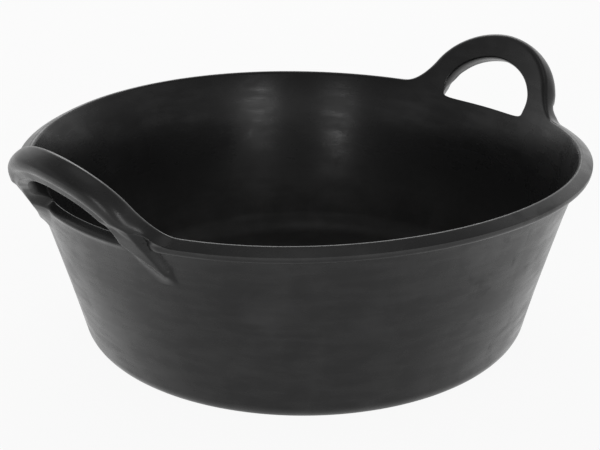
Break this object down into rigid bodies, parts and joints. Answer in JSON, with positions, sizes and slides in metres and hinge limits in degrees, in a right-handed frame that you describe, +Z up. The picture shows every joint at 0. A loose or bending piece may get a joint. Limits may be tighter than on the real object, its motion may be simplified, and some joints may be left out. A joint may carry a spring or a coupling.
{
  "type": "feed tub",
  "caption": "Round flared tub of moulded black rubber with an outward rim lip and integral loop handles that flex at their roots, for feeding and watering livestock.",
  "frame": {"origin": "centre of the flat underside, on the ground", "axes": "+Z up, +X towards the right handle, +Y towards the rear"},
  "size_m": [0.5474, 0.49, 0.2218],
  "materials": {
    "rubber": "satin moulded rubber with release stains"
  },
  "bodies": {
    "tub": {"floor_dish": "rubber", "side_wall": "rubber", "front_rim": "rubber", "rear_rim": "rubber", "left_root": "rubber", "right_root": "rubber", "left_necks": "rubber", "right_necks": "rubber"},
    "left_loop": {"left_grip": "rubber"},
    "right_loop": {"right_grip": "rubber"}
  },
  "joints": [
    {"name": "left_loop_flex", "type": "hinge", "parent": "tub", "child": "left_loop", "pos_m": [-0.2384, 0, 0.1771], "axis": [0, -1, 0], "range_deg": [-25, 25], "stiffness_Nm_per_rad": 3, "deforming": ["left_necks"]},
    {"name": "right_loop_flex", "type": "hinge", "parent": "tub", "child": "right_loop", "pos_m": [0.2384, 0, 0.1771], "axis": [0, 1, 0], "range_deg": [-25, 25], "stiffness_Nm_per_rad": 3, "deforming": ["right_necks"]}
  ]
}
